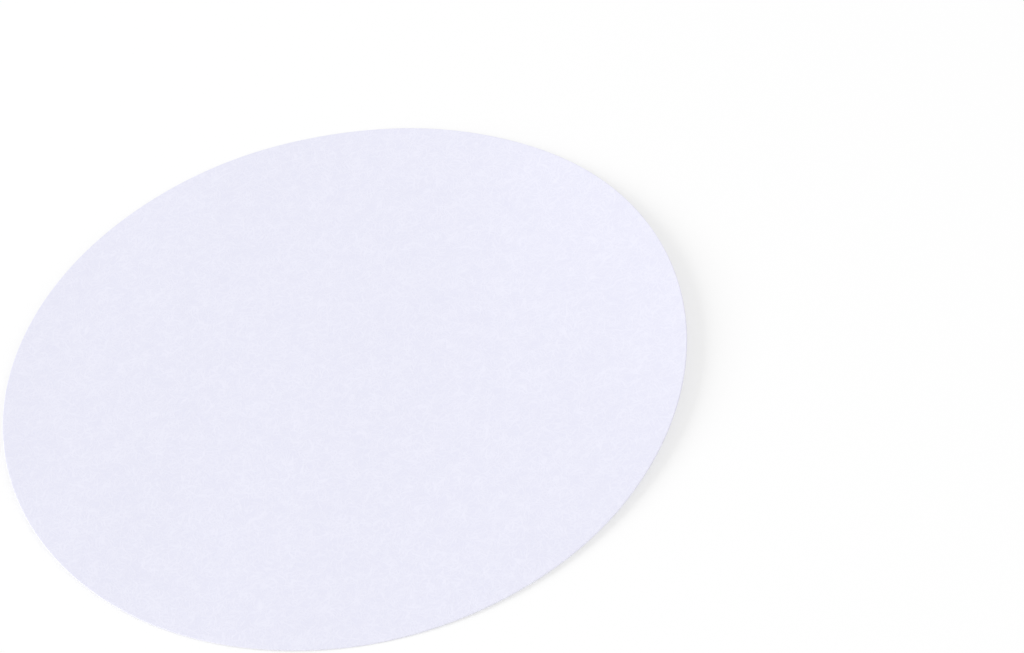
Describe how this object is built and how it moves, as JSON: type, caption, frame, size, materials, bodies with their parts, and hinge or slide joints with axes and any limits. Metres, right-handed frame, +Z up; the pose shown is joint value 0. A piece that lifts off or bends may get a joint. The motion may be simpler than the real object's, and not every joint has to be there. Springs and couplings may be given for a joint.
{
  "type": "filter paper disc",
  "caption": "Flat round sheet of white laboratory filter paper, die-cut, for lining a funnel plate and holding back solids.",
  "frame": {"origin": "centre of the underside, on the surface that the disc lies on", "axes": "+Z up through the sheet, along the disc's axis; X and Y lie in the sheet"},
  "size_m": [0.125, 0.125, 0.0002],
  "materials": {
    "filter_paper": "matt, unglazed, soft fibrous cellulose, cool white"
  },
  "bodies": {
    "root": {"filter_disc": "filter_paper"}
  },
  "joints": []
}
